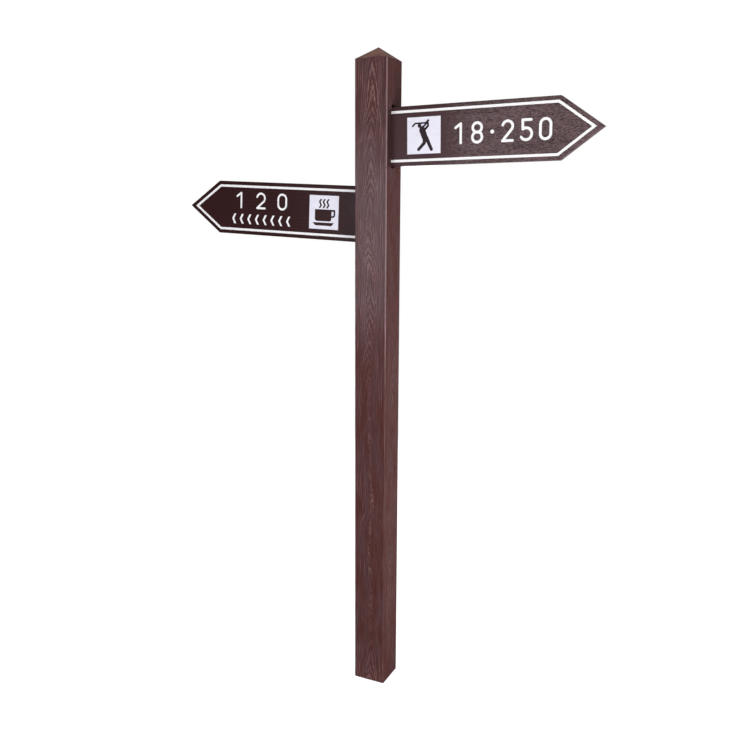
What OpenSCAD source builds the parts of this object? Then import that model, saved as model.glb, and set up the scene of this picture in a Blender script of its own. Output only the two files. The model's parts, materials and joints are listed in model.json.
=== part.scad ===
// Golf direction sign: a hollow imitation-wood post with a pyramid top, and two arrow boards that slip into
// slots in its sides and are clamped from behind. Origin at the middle of the post's foot, +Z up, the boards
// point along +X and -X, and their faces look towards -Y. All sizes are in millimetres.

/* [Post] */
// Outer width of the square post
post_w = 100; // [90:1:140]
// Height of the post up to its shoulder, below the pyramid
post_h = 1865; // [1820:5:2400]
// Height of the pyramid on top
peak_rise = 35; // [15:1:60]
// Wall of the hollow post
post_wall = 12; // [8:0.5:14]
// Radius of the post's upright corners
corner_r = 3; // [1:0.5:8]
// Depth of the cap's spigot inside the post
spigot_h = 40; // [25:1:70]

/* [Boards] */
// Height of a board
board_h = 160; // [130:1:165]
// Thickness of a board
board_t = 24; // [18:1:26]
// Length of the pointed end
arrow_len = 110; // [60:5:140]
// Distance of a board's front face in front of the post's axis
board_front = 20; // [14:1:22]
// How far the right board reaches out of the post
right_reach = 580; // [520:5:700]
// How far the left board reaches out of the post
left_reach = 600; // [540:5:700]
// Gap between the right board's inner end and the post's far wall
right_end_gap = 3; // [2:1:25]
// Gap between the left board's inner end and the post's far wall
left_end_gap = 23; // [2:1:25]
// Tilt of the right board, free end up
right_tilt = 0.9; // [0:0.1:1.5]
// Tilt of the left board, free end up
left_tilt = 2.4; // [0:0.1:2.6]

/* [Slots] */
// Distance from the post's shoulder down to the middle of the right slot
slot_below = 208; // [180:1:260]
// Distance between the middles of the two slots
slots_apart = 214; // [205:1:400]
// Extra height of a slot over its board
slot_play = 11.5; // [10:0.5:16]
// Gap in front of a board in its slot, where the clamp presses it home
slot_front_gap = 0.1; // [0.05:0.05:0.5]
// Gap behind a board in its slot
slot_back_gap = 0.9; // [0.5:0.1:2]
// How far the right board sits below the middle of its slot, at the post's axis
right_drop = 2; // [0:0.5:2]
// How far the left board sits below the middle of its slot, at the post's axis
left_drop = 1.5; // [0:0.5:2]

/* [Inlays] */
// Depth of the pockets routed in a board's face
pocket_depth = 2; // [1:0.1:3]
// Thickness of the white inlays
inlay_t = 1.8; // [0.8:0.1:2.8]
// Gap round an inlay in its pocket
inlay_gap = 0.2; // [0.1:0.05:0.4]
// Distance of the border band from the board's edge
band_inset = 11; // [6:0.5:16]
// Width of the border band
band_w = 7; // [4:0.5:12]
// How far the border band runs on inside the post
band_tail = 20; // [5:1:30]
// Side of the square pictogram plate
plate_w = 98; // [80:1:110]
// Distance from a board's inner end to the middle of its plate
plate_from_end = 182; // [178:1:190]
// Depth of the pictogram's pockets in its plate
picture_depth = 0.9; // [0.4:0.1:1.2]
// Gap round each pictogram piece
picture_gap = 0.15; // [0.05:0.05:0.3]

/* [Figures] */
// Height of the right board's numerals
numeral_h = 57; // [40:1:80]
// Width of one numeral
numeral_w = 34; // [26:1:40]
// Stroke width of the numerals
numeral_stroke = 7; // [5:0.5:10]
// Clear space between two numerals
numeral_space = 16; // [10:1:20]
// Distance from the middle of the right plate to the middle of its row of numerals
numerals_from_plate = 219; // [205:1:230]
// Height of the left board's numerals
small_h = 50; // [36:1:56]
// Width of one numeral of the left board
small_w = 34; // [26:1:40]
// Stroke width of the left board's numerals
small_stroke = 6; // [4:0.5:9]
// Clear space between two numerals of the left board
small_space = 42; // [20:1:48]
// Height of the middle of the left board's numerals above its centre line
small_lift = 24; // [18:1:28]
// Distance from the middle of the left plate to the middle of both its rows
rows_from_plate = 220; // [200:1:230]
// Height of the chevrons in the left board's lower row
chevron_h = 30; // [18:1:34]
// Depth of one chevron, point to tail
chevron_d = 15; // [10:1:20]
// Width of a chevron's arm, measured along its row
chevron_arm = 7; // [3:0.5:8]
// Distance from one chevron to the next
chevron_pitch = 28; // [24:1:30]
// How far the middle of the chevrons lies below the board's centre line
chevron_sink = 33; // [30:1:38]
// Number of chevrons
chevron_count = 8; // [4:1:8]

/* [Core] */
// Outer diameter of the steel core tube
core_od = 48.3; // [42.4:0.1:52]
// Wall of the core tube
core_wall = 3.2; // [2:0.1:5]
// Height of the foot block
foot_h = 110; // [90:5:160]
// Thickness of each collar
collar_h = 40; // [30:1:80]
// Solid end of a mortise block beyond its slot
block_end = 25; // [18:1:40]
// Gap between the inner pieces and the post's walls
fill_gap = 0.3; // [0.1:0.05:0.6]
// Radial gap between the core tube and what it passes through
core_gap = 0.1; // [0.05:0.05:0.3]
// Height of the anchor screw above the ground
anchor_z = 60; // [40:1:70]

/* [Clamps] */
// Diameter of a clamp screw
clamp_d = 8; // [6:1:10]
// Length of a clamp screw
clamp_len = 35; // [30:1:36]
// Distance of a clamp screw above and below the middle of its slot
clamp_rise = 45; // [30:1:60]
// How far the clamp backs off to free its board
clamp_travel = 4; // [2:0.5:5]
// Width of the pressure plate
pad_w = 20; // [16:1:24]
// Height of the pressure plate
pad_h = 124; // [110:1:140]
// Thickness of the pressure plate
pad_t = 3; // [2:0.5:4]
// Outer diameter of a threaded insert
insert_od = 12; // [10.5:0.5:14]
// Length of a threaded insert
insert_len = 19; // [12:1:20]
// Radial gap between a screw and its thread, and between an insert and its hole
thread_gap = 0.05; // [0.02:0.01:0.1]

/* [Screws and plugs] */
// Diameter of a back screw
screw_d = 5; // [4:0.5:6]
// Diameter of a back screw's countersunk head
screw_head_d = 10; // [8:0.5:11]
// Length of a back screw
screw_len = 40; // [30:1:45]
// Gap round a back screw's shank in the wall
screw_gap = 0.25; // [0.1:0.05:0.5]
// Sideways distance of the paired back screws from the post's middle
screw_side = 29; // [28:0.5:31]
// Diameter of the access holes behind the clamp and anchor screws
access_d = 12; // [10.5:0.5:14]
// Diameter of a plug's rim
plug_rim_d = 17; // [15:0.5:20]
// Thickness of a plug's rim
plug_rim_t = 1.5; // [1:0.1:2]
// Length of a plug's stem behind its rim
plug_stem = 2; // [1.5:0.1:2.4]
// Diameter of the anchor screw
anchor_d = 10; // [8:1:12]
// Length of the anchor screw
anchor_len = 20; // [16:1:22]
// Outer diameter of the threaded boss on the core tube
boss_d = 20; // [16:1:22]

/* [Hidden] */
$fn = 64;

RIGHT = 1;
LEFT = -1;
// Cutters run this far past the face that they open
over = 1;
half_w = post_w / 2;
inner_w = post_w - 2 * post_wall;
inner_y = inner_w / 2;
fill_w = inner_w - 2 * fill_gap;
fill_y = fill_w / 2;

board_y0 = -board_front;
board_y1 = board_y0 + board_t;
slot_y0 = board_y0 - slot_front_gap;
slot_t = board_t + slot_front_gap + slot_back_gap;
slot_h = board_h + slot_play;

core_r = core_od / 2;
bore_r = core_r - core_wall;
right_slot_z = post_h - slot_below;
left_slot_z = right_slot_z - slots_apart;
right_slot_top = right_slot_z + slot_h / 2;
right_slot_foot = right_slot_z - slot_h / 2;
left_slot_top = left_slot_z + slot_h / 2;
left_slot_foot = left_slot_z - slot_h / 2;
// The two blocks stand on the core tube and on each other, and meet halfway between the slots
stack_z0 = left_slot_foot - block_end;
stack_mid = (left_slot_top + right_slot_foot) / 2;
stack_z1 = right_slot_top + block_end;
mid_end = (right_slot_foot - left_slot_top) / 2;
middle_collar_z = (foot_h + stack_z0 - collar_h) / 2;
upper_collar_z = stack_z0 - collar_h;

pad_y0 = board_y1;
pad_gap = 0.3;
recess_y1 = pad_y0 + pad_t + clamp_travel + pad_gap;
clamp_y0 = pad_y0 + pad_t;
clamp_y1 = clamp_y0 + clamp_len;
anchor_clear = 0.5;
anchor_y0 = bore_r + anchor_clear;
anchor_y1 = anchor_y0 + anchor_len;
boss_rise = 8;
boss_y1 = core_r + boss_rise;
socket_depth_ratio = 0.6;
screw_head_h = (screw_head_d - screw_d) / 2;
recess_w = 1.2;
foot_screw_z = foot_h - 20;
plug_wall = 1.5;
// A plug's stem runs this far into its rim
plug_root = 0.2;

pocket_y = board_y0 + pocket_depth;
inlay_y = pocket_y - inlay_t;
picture_y = inlay_y + picture_depth;

colour_post = "#5a4143";
colour_cap = "#6b4c46";
colour_right = "#554240";
colour_left = "#3a2827";
colour_white = "#f4f4f6";
colour_plate = "#e6e8f6";
colour_steel = "#9a9ea3";
colour_dark = "#3b3b3d";
colour_brass = "#b08d4f";

// The middle height of a board where it crosses the post's axis
function slot_z(side) = side == RIGHT ? right_slot_z : left_slot_z;
function board_z(side) = side == RIGHT ? right_slot_z - right_drop : left_slot_z - left_drop;
function tilt(side) = side == RIGHT ? right_tilt : left_tilt;
// Distance of a board's tip, its inner end and the middle of its plate from the post's axis
function tip(side) = half_w + (side == RIGHT ? right_reach : left_reach);
function board_end(side) = (side == RIGHT ? right_end_gap : left_end_gap) - inner_y;
function plate_x(side) = board_end(side) + plate_from_end;
function dir(a) = [cos(a), sin(a)];

// General helpers

// Stands a flat drawing up, with its back at y_back and its thickness towards the viewer
module upright(y_back) {
    translate([0, y_back, 0]) rotate([90, 0, 0]) children();
}

// A round rod along +Y
module rod_y(x, y, z, r, len) {
    translate([x, y, z]) rotate([-90, 0, 0]) cylinder(r = r, h = len);
}

module rounded_square(w, r) {
    square([w, w - 2 * r], center = true);
    square([w - 2 * r, w], center = true);
    for (sx = [-1, 1], sy = [-1, 1]) translate([sx * (w / 2 - r), sy * (w / 2 - r)]) circle(r);
}

// A round end is this much slimmer than its bar, so that their sides cross and don't just graze
nose_step = 0.04;

// A flat bar from p to q, t thick, with a round end of its own radius at each
module bar(p, q, r1, r2, t) {
    d = norm(q - p);
    a = atan2(q[1] - p[1], q[0] - p[0]);
    b = acos((r1 - r2) / d);
    translate(p) cylinder(r = r1 - nose_step, h = t);
    translate(q) cylinder(r = r2 - nose_step, h = t);
    linear_extrude(t)
        polygon([p + r1 * dir(a + b), q + r2 * dir(a + b), q + r2 * dir(a - b), p + r1 * dir(a - b)]);
}

module stroke(p, q, w, t) {
    bar(p, q, w / 2, w / 2, t);
}

// A flat ring round c, w wide and t thick
module ring(c, r, w, t) {
    translate(c) difference() {
        cylinder(r = r + w / 2, h = t);
        translate([0, 0, -over]) cylinder(r = r - w / 2, h = t + 2 * over);
    }
}

// A stretch of such a ring from angle a0 to a1, with round ends
module bow(c, r, a0, a1, w, t) {
    translate(c) rotate([0, 0, a0]) rotate_extrude(angle = a1 - a0) translate([r - w / 2, 0]) square([w, t]);
    for (a = [a0, a1]) translate(c + r * dir(a)) cylinder(r = w / 2 - nose_step, h = t);
}

// Fixing places

// Back screws: [x, z]
BACK_SCREWS = [
    [-screw_side, foot_screw_z], [screw_side, foot_screw_z],
    [-screw_side, middle_collar_z + collar_h / 2], [screw_side, middle_collar_z + collar_h / 2],
    [-screw_side, upper_collar_z + collar_h / 2], [screw_side, upper_collar_z + collar_h / 2],
    [0, stack_z0 + block_end / 2], [0, stack_mid - mid_end / 2],
    [0, stack_mid + mid_end / 2], [0, stack_z1 - block_end / 2],
    [0, post_h - spigot_h / 2]
];
function clamp_heights(side) = [slot_z(side) - clamp_rise, slot_z(side) + clamp_rise];
ACCESS_HEIGHTS = concat([anchor_z], clamp_heights(LEFT), clamp_heights(RIGHT));

module screw_holes_in_wall() {
    for (s = BACK_SCREWS) {
        rod_y(s[0], inner_y - over, s[1], screw_d / 2 + screw_gap, post_wall + 2 * over);
        translate([s[0], half_w - screw_head_h, s[1]]) rotate([-90, 0, 0])
            cylinder(r1 = screw_d / 2 + screw_gap, r2 = screw_head_d / 2 + screw_gap, h = screw_head_h);
    }
}

// Pilot holes, which the shanks fill but for the thread gap
module screw_pilots() {
    for (s = BACK_SCREWS)
        rod_y(s[0], half_w - screw_len - over, s[1], screw_d / 2 + thread_gap, screw_len);
}

module access_holes() {
    for (z = ACCESS_HEIGHTS) {
        rod_y(0, inner_y - over, z, access_d / 2, post_wall + 2 * over);
        rod_y(0, half_w - plug_rim_t, z, plug_rim_d / 2 + pad_gap, plug_rim_t + over);
    }
}

// Post

module post_shell() {
    color(colour_post) difference() {
        linear_extrude(post_h) difference() {
            rounded_square(post_w, corner_r);
            square(inner_w, center = true);
        }
        translate([inner_y - over, slot_y0, right_slot_foot]) cube([post_wall + 2 * over, slot_t, slot_h]);
        translate([-half_w - over, slot_y0, left_slot_foot]) cube([post_wall + 2 * over, slot_t, slot_h]);
        screw_holes_in_wall();
        access_holes();
    }
}

module post_cap() {
    h = half_w;
    color(colour_cap) {
        translate([0, 0, post_h]) intersection() {
            polyhedron(
                points = [[-h, -h, 0], [h, -h, 0], [h, h, 0], [-h, h, 0], [0, 0, peak_rise]],
                faces = [[0, 1, 2, 3], [1, 0, 4], [2, 1, 4], [3, 2, 4], [0, 3, 4]]
            );
            linear_extrude(peak_rise + over) rounded_square(post_w, corner_r);
        }
        difference() {
            translate([-fill_y, -fill_y, post_h - spigot_h]) cube([fill_w, fill_w, spigot_h]);
            screw_pilots();
        }
    }
}

module core_tube() {
    color(colour_steel) difference() {
        cylinder(r = core_r, h = stack_z0);
        translate([0, 0, -over]) cylinder(r = bore_r, h = stack_z0 + 2 * over);
        rod_y(0, 0, anchor_z, anchor_d / 2 + thread_gap, core_r + over);
    }
}

// A square filler with a round hole for the core tube
module filler(z, h) {
    difference() {
        translate([-fill_y, -fill_y, z]) cube([fill_w, fill_w, h]);
        translate([0, 0, z - over]) cylinder(r = core_r + core_gap, h = h + 2 * over);
        screw_pilots();
    }
}

module foot_block() {
    color(colour_dark) difference() {
        filler(0, foot_h);
        rod_y(0, 0, anchor_z, boss_d / 2 + fill_gap, post_w);
    }
}

module middle_collar() {
    color(colour_dark) filler(middle_collar_z, collar_h);
}

module upper_collar() {
    color(colour_dark) filler(upper_collar_z, collar_h);
}

module anchor_boss() {
    color(colour_steel) difference() {
        rod_y(0, core_r - core_wall, anchor_z, boss_d / 2, boss_y1 - core_r + core_wall);
        translate([0, 0, anchor_z - boss_d]) cylinder(r = core_r, h = 2 * boss_d);
        rod_y(0, 0, anchor_z, anchor_d / 2 + thread_gap, boss_y1 + over);
    }
}

// A headless screw along +Y with a hexagon socket at its back end
module socket_screw(z, y0, y1, d) {
    difference() {
        rod_y(0, y0, z, d / 2, y1 - y0);
        translate([0, y1 - d * socket_depth_ratio, z]) rotate([-90, 0, 0])
            cylinder(d = d * socket_depth_ratio, h = d, $fn = 6);
    }
}

module anchor_screw() {
    color(colour_steel) socket_screw(anchor_z, anchor_y0, anchor_y1, anchor_d);
}

module back_screws() {
    color(colour_steel) for (s = BACK_SCREWS) {
        difference() {
            union() {
                rod_y(s[0], half_w - screw_len, s[1], screw_d / 2, screw_len - screw_head_h);
                translate([s[0], half_w - screw_head_h, s[1]]) rotate([-90, 0, 0])
                    cylinder(r1 = screw_d / 2, r2 = screw_head_d / 2, h = screw_head_h);
            }
            for (a = [0, 90]) translate([s[0], half_w, s[1]]) rotate([0, a, 0])
                cube([screw_head_d * 0.5, screw_head_h, recess_w], center = true);
        }
    }
}

module hole_plugs() {
    color(colour_cap) for (z = ACCESS_HEIGHTS) {
        rod_y(0, half_w - plug_rim_t, z, plug_rim_d / 2, plug_rim_t);
        difference() {
            rod_y(0, half_w - plug_rim_t - plug_stem, z, access_d / 2 - thread_gap, plug_stem + plug_root);
            rod_y(0, half_w - plug_rim_t - plug_stem - over, z, access_d / 2 - plug_wall, plug_stem + over);
        }
    }
}

// What takes the boards

module mortise_block(side, z0, z1) {
    difference() {
        translate([-fill_y, -fill_y, z0]) cube([fill_w, fill_w, z1 - z0]);
        translate([-half_w, slot_y0, slot_z(side) - slot_h / 2]) cube([post_w, slot_t, slot_h]);
        translate([-pad_w / 2 - pad_gap, slot_y0 + over, slot_z(side) - pad_h / 2 - pad_gap])
            cube([pad_w + 2 * pad_gap, recess_y1 - slot_y0 - over, pad_h + 2 * pad_gap]);
        for (z = clamp_heights(side)) {
            rod_y(0, 0, z, clamp_d / 2 + pad_gap, post_w);
            rod_y(0, fill_y - insert_len, z, insert_od / 2 + thread_gap, insert_len + over);
        }
        screw_pilots();
    }
}

module left_mortise_block() {
    color(colour_dark) mortise_block(LEFT, stack_z0, stack_mid);
}

module right_mortise_block() {
    color(colour_dark) mortise_block(RIGHT, stack_mid, stack_z1);
}

module clamp_inserts(side) {
    color(colour_brass) for (z = clamp_heights(side)) {
        difference() {
            rod_y(0, fill_y - insert_len, z, insert_od / 2, insert_len);
            rod_y(0, 0, z, clamp_d / 2 + thread_gap, post_w);
        }
    }
}

module clamp_screws(side) {
    color(colour_steel) for (z = clamp_heights(side)) socket_screw(z, clamp_y0, clamp_y1, clamp_d);
}

module pressure_plate(side) {
    color(colour_steel)
        translate([-pad_w / 2, pad_y0, slot_z(side) - pad_h / 2]) cube([pad_w, pad_t, pad_h]);
}

module right_clamp_inserts() { clamp_inserts(RIGHT); }
module left_clamp_inserts() { clamp_inserts(LEFT); }
module right_clamp_screws() { clamp_screws(RIGHT); }
module left_clamp_screws() { clamp_screws(LEFT); }
module right_pressure_plate() { pressure_plate(RIGHT); }
module left_pressure_plate() { pressure_plate(LEFT); }

// Boards

// Puts what is drawn round the post's axis at a board's height and tilt
module on_board(side) {
    translate([0, 0, board_z(side)]) rotate([0, -side * tilt(side), 0]) children();
}

// The slant's slope, and how far the tip moves in when the outline is drawn in by one millimetre
slant_run = arrow_len / (board_h / 2);
tip_step = norm([arrow_len, board_h / 2]) / (board_h / 2);

// The arrow outline drawn in by d, from x0 on the side of the post to the tip
function arrow_points(side, d, x0) =
    let (t = tip(side) - d * tip_step, v = board_h / 2 - d, u = t - v * slant_run)
    [[side * x0, -v], [side * u, -v], [side * t, 0], [side * u, v], [side * x0, v]];

// The border band as one outline: two arrows with the inner one cut out
module band_outline(side, g) {
    x0 = half_w - band_tail - g;
    difference() {
        polygon(arrow_points(side, band_inset - g, x0));
        polygon(arrow_points(side, band_inset + band_w + g, x0 - over));
    }
}

module border_band(side) {
    color(colour_white) on_board(side) upright(pocket_y) linear_extrude(inlay_t) band_outline(side, 0);
}

// Moves what is drawn round the middle of a plate to its place on the board
module at_plate(side) {
    translate([side * plate_x(side), 0, 0]) children();
}

module plate(side) {
    w = plate_w;
    color(colour_plate) on_board(side) difference() {
        upright(pocket_y) at_plate(side) translate([-w / 2, -w / 2, 0]) cube([w, w, inlay_t]);
        upright(picture_y) at_plate(side) picture(side, picture_gap, picture_depth + over);
    }
}

// What a plate shows, t thick, with every outline grown by g
module picture(side, g, t) {
    k = plate_w / 100;
    scale([k, k, 1]) if (side == RIGHT) golfer(g, t); else cup(g, t);
}

// A golfer at the end of a swing, drawn with thick bars in a field of 100 by 100
module golfer(g, t) {
    // Head, then the club from its grip to its toe
    translate([-12.8, 26.4]) cylinder(r = 5.6 + g, h = t);
    bar([7.5, 33.4], [13.4, 39.8], 3.4 + g, 2.9 + g, t);
    bar([7.5, 33.4], [-25.8, 33.2], 2.3 + g, 2.1 + g, t);
    bar([-25.8, 33.2], [-33.4, 26], 2.1 + g, 2.5 + g, t);
    // Arms, from the shoulders to the grip
    bar([-8, 18], [3, 27], 5 + g, 2.4 + g, t);
    bar([3, 27], [7.5, 33.4], 2.4 + g, 3.4 + g, t);
    bar([1, 14], [12.6, 24.8], 3.4 + g, 2.9 + g, t);
    bar([12.6, 24.8], [12.2, 33], 2.9 + g, 2.6 + g, t);
    // Trunk
    bar([-4.6, 13.8], [5, -10.5], 9.1 + g, 8.3 + g, t);
    // The bent leg, then the straight one
    bar([2, -7], [1.4, -20.6], 5.4 + g, 4.7 + g, t);
    bar([1.4, -20.6], [-16, -37.8], 4.7 + g, 4.2 + g, t);
    bar([7.4, -6], [22.8, -38.8], 5.3 + g, 4.4 + g, t);
}

// A cup with a handle on a saucer, and three curls of steam
module cup(g, t) {
    // The body, whose lower corners are round, and the handle
    translate([-30.5 - g, -19, 0]) cube([56.5 + 2 * g, 27.6 + g, t]);
    bar([-23.5, -19], [19, -19], 7 + g, 7 + g, t);
    stroke([20, 5.8], [36.2, 5.8], 5.2 + 2 * g, t);
    stroke([36.2, 5.8], [36.2, -6], 5.2 + 2 * g, t);
    bow([30, -6], 6.2, -90, 0, 5.2 + 2 * g, t);
    stroke([20, -12.2], [30, -12.2], 5.2 + 2 * g, t);
    // The saucer, with slanting ends that grow by g as well
    run = 9;
    rise = 9.2;
    shift = g * norm([run, rise]) / rise;
    grow = g * run / rise;
    linear_extrude(t) polygon([
        [-29 - shift + grow, -39.5 - g],
        [26.5 + shift - grow, -39.5 - g],
        [26.5 + run + shift + grow, -39.5 + rise + g],
        [-29 - run - shift - grow, -39.5 + rise + g]
    ]);
    for (x = [-12.3, 0.4, 13.1]) {
        bar([x - 2.2, 14.2], [x + 2.6, 21], 2.4 + g, 2.5 + g, t);
        bar([x + 2.6, 21], [x - 2.8, 31.4], 2.5 + g, 2.5 + g, t);
        bar([x - 2.8, 31.4], [x + 2, 37.8], 2.5 + g, 2.3 + g, t);
    }
}

// One numeral, t thick, in a field w wide and h high, with its lower left corner at the origin
module numeral(n, w, h, s, g, t) {
    b = s + 2 * g;
    x0 = s / 2;
    x1 = w - s / 2;
    xm = w / 2;
    y0 = s / 2;
    y1 = h - s / 2;
    r = (x1 - x0) / 2;
    // Lower and upper bowls, whose middle lines just cross
    bowls = y1 - y0 + s * 0.15;
    rl = bowls * 0.26;
    ru = bowls / 2 - rl;
    if (n == 0) {
        bow([xm, y1 - r], r, 0, 180, b, t);
        bow([xm, y0 + r], r, 180, 360, b, t);
        stroke([x0, y0 + r], [x0, y1 - r], b, t);
        stroke([x1, y0 + r], [x1, y1 - r], b, t);
    } else if (n == 1) {
        stroke([xm + r * 0.3, y0], [xm + r * 0.3, y1], b, t);
        stroke([xm + r * 0.3, y1], [x0 + r * 0.2, y1 - r * 0.75], b, t);
    } else if (n == 2) {
        bow([xm, y1 - r], r, -38, 165, b, t);
        stroke([xm, y1 - r] + r * dir(-38), [x0, y0], b, t);
        stroke([x0, y0], [x1, y0], b, t);
    } else if (n == 5) {
        bow([xm - r * 0.05, y0 + rl * 1.12], rl * 1.12, -150, 125, b, t);
        stroke([xm - r * 0.05, y0 + rl * 1.12] + rl * 1.12 * dir(125), [x0 + r * 0.25, y1], b, t);
        stroke([x0 + r * 0.25, y1], [x1 - r * 0.1, y1], b, t);
    } else if (n == 8) {
        ring([xm, y1 - ru], ru, b, t);
        ring([xm, y0 + rl], rl, b, t);
    } else {
        translate([xm, h / 2]) cylinder(r = s * 0.75 + g, h = t);
    }
}

// Numerals in a row, from left to right, with -1 for a dot of half the width
RIGHT_ROW = [1, 8, -1, 2, 5, 0];
LEFT_ROW = [1, 2, 0];
function field(n, w) = n < 0 ? w / 2 : w;
function row_start(row, i, w, space) =
    i == 0 ? 0 : row_start(row, i - 1, w, space) + field(row[i - 1], w) + space;
function row_width(row, w, space) =
    row_start(row, len(row) - 1, w, space) + field(row[len(row) - 1], w);

module numeral_row(row, w, h, s, space, g, t) {
    translate([-row_width(row, w, space) / 2, -h / 2, 0])
        for (i = [0 : len(row) - 1])
            translate([row_start(row, i, w, space), 0, 0]) numeral(row[i], field(row[i], w), h, s, g, t);
}

module right_figures(g, t) {
    translate([plate_x(RIGHT) + numerals_from_plate, 0, 0])
        numeral_row(RIGHT_ROW, numeral_w, numeral_h, numeral_stroke, numeral_space, g, t);
}

module left_figures(g, t) {
    translate([-plate_x(LEFT) - rows_from_plate, small_lift, 0])
        numeral_row(LEFT_ROW, small_w, small_h, small_stroke, small_space, g, t);
}

// One chevron that points left, with its outline grown by g
module chevron(g, t) {
    h = chevron_h / 2;
    run = chevron_d - chevron_arm;
    // A side that moves out by g moves this far along the row
    shift = g * norm([run, h]) / h;
    x0 = -chevron_d / 2 - shift;
    x1 = x0 + run * (h + g) / h;
    w = chevron_arm + 2 * shift;
    y = h + g;
    linear_extrude(t) polygon([[x0, 0], [x1, -y], [x1 + w, -y], [x0 + w, 0], [x1 + w, y], [x1, y]]);
}

module chevrons(g, t) {
    translate([-plate_x(LEFT) - rows_from_plate, -chevron_sink, 0])
        for (i = [0 : chevron_count - 1])
            translate([(i - (chevron_count - 1) / 2) * chevron_pitch, 0, 0]) chevron(g, t);
}

module board(side) {
    w = plate_w + 2 * inlay_gap;
    cut = pocket_depth + over;
    difference() {
        upright(board_y1) linear_extrude(board_t) polygon(arrow_points(side, 0, board_end(side)));
        upright(pocket_y) {
            linear_extrude(cut) band_outline(side, inlay_gap);
            at_plate(side) translate([-w / 2, -w / 2, 0]) cube([w, w, cut]);
            if (side == RIGHT) right_figures(inlay_gap, cut);
            if (side == LEFT) left_figures(inlay_gap, cut);
            if (side == LEFT) chevrons(inlay_gap, cut);
        }
    }
}

module right_board() {
    color(colour_right) on_board(RIGHT) board(RIGHT);
}

module left_board() {
    color(colour_left) on_board(LEFT) board(LEFT);
}

module right_border_band() { border_band(RIGHT); }
module left_border_band() { border_band(LEFT); }
module right_plate() { plate(RIGHT); }
module left_plate() { plate(LEFT); }

module right_golfer() {
    color(colour_right) on_board(RIGHT) upright(picture_y) at_plate(RIGHT) picture(RIGHT, 0, picture_depth);
}

module left_cup() {
    color(colour_left) on_board(LEFT) upright(picture_y) at_plate(LEFT) picture(LEFT, 0, picture_depth);
}

module right_numerals() {
    color(colour_white) on_board(RIGHT) upright(pocket_y) right_figures(0, inlay_t);
}

module left_numerals() {
    color(colour_white) on_board(LEFT) upright(pocket_y) left_figures(0, inlay_t);
}

module left_chevrons() {
    color(colour_white) on_board(LEFT) upright(pocket_y) chevrons(0, inlay_t);
}

post_shell();
post_cap();
core_tube();
foot_block();
middle_collar();
upper_collar();
left_mortise_block();
right_mortise_block();
anchor_boss();
anchor_screw();
back_screws();
hole_plugs();
right_clamp_inserts();
left_clamp_inserts();
right_clamp_screws();
left_clamp_screws();
right_pressure_plate();
left_pressure_plate();
right_board();
right_border_band();
right_plate();
right_golfer();
right_numerals();
left_board();
left_border_band();
left_plate();
left_cup();
left_numerals();
left_chevrons();
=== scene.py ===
# %% [markdown]
# # A golf course direction sign
# The sign is a square post in imitation wood with two arrow boards that slip into slots in its sides. The CAD
# model already has every piece at its real size. This lesson leaves those sizes alone and adds what makes the
# sign look real: pressed grain, rounded edges, worn corners, inlaid white figures and studio light.

# %% Load the CAD model
import json
import math

import bmesh
import bpy
import numpy as np
from mathutils import Matrix, Vector

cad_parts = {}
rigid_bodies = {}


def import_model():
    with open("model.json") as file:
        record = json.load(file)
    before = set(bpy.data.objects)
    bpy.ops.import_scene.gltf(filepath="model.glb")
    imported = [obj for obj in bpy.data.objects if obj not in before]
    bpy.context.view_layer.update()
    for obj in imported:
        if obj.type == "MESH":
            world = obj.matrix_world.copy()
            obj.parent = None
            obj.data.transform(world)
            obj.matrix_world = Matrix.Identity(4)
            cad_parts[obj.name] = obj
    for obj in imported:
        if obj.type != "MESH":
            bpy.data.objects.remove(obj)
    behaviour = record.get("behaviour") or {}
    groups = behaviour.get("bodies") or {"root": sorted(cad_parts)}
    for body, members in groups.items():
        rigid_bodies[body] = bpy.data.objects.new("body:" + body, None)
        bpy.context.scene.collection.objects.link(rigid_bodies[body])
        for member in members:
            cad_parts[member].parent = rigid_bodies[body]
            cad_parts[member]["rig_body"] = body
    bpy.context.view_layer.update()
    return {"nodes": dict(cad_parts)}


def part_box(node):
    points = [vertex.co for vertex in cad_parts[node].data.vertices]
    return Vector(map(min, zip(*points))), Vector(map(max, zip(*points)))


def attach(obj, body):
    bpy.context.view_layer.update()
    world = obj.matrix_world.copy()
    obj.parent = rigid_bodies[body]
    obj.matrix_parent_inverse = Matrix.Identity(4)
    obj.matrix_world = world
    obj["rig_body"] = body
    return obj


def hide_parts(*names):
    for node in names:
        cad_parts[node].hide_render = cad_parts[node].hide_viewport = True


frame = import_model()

MM = 0.001

# %% [markdown]
# ## Helpers for materials and objects
# Colours are picked on a screen, so they are written as sRGB hex values. The renderer counts in linear light, so
# one function turns them over. The next one adds a node to a tree. It takes the node's inputs and its settings,
# and an input may be a plain value or the output of another node. Many inputs go by their number. In a Map Range
# node 0 is the value, 1 and 2 are the span that it comes from, and 3 and 4 the span that it goes to. In a Mix
# node 0 is the share, and 2 and 3 are the numbers, or 6 and 7 the colours, that it mixes.

# %% Colour, node, material and object helpers
def colour(hex_value):
    """An sRGB hex colour such as "#4a3335" as linear RGBA."""
    channels = [int(hex_value[i:i + 2], 16) / 255 for i in (1, 3, 5)]
    linear = [c / 12.92 if c <= 0.04045 else ((c + 0.055) / 1.055) ** 2.4 for c in channels]
    return (*linear, 1.0)


def add(tree, kind, inputs=None, **settings):
    """Adds a node to a tree. An input that is a socket gets linked, and any other value is set."""
    made = tree.nodes.new(kind)
    for name, value in settings.items():
        setattr(made, name, value)
    for key, value in (inputs or {}).items():
        if isinstance(value, bpy.types.NodeSocket):
            tree.links.new(value, made.inputs[key])
        else:
            made.inputs[key].default_value = value
    return made


def new_material(name):
    """An empty material and the tree that its recipe fills."""
    material = bpy.data.materials.new(name)
    material.use_nodes = True
    material.node_tree.nodes.clear()
    return material, material.node_tree


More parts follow.
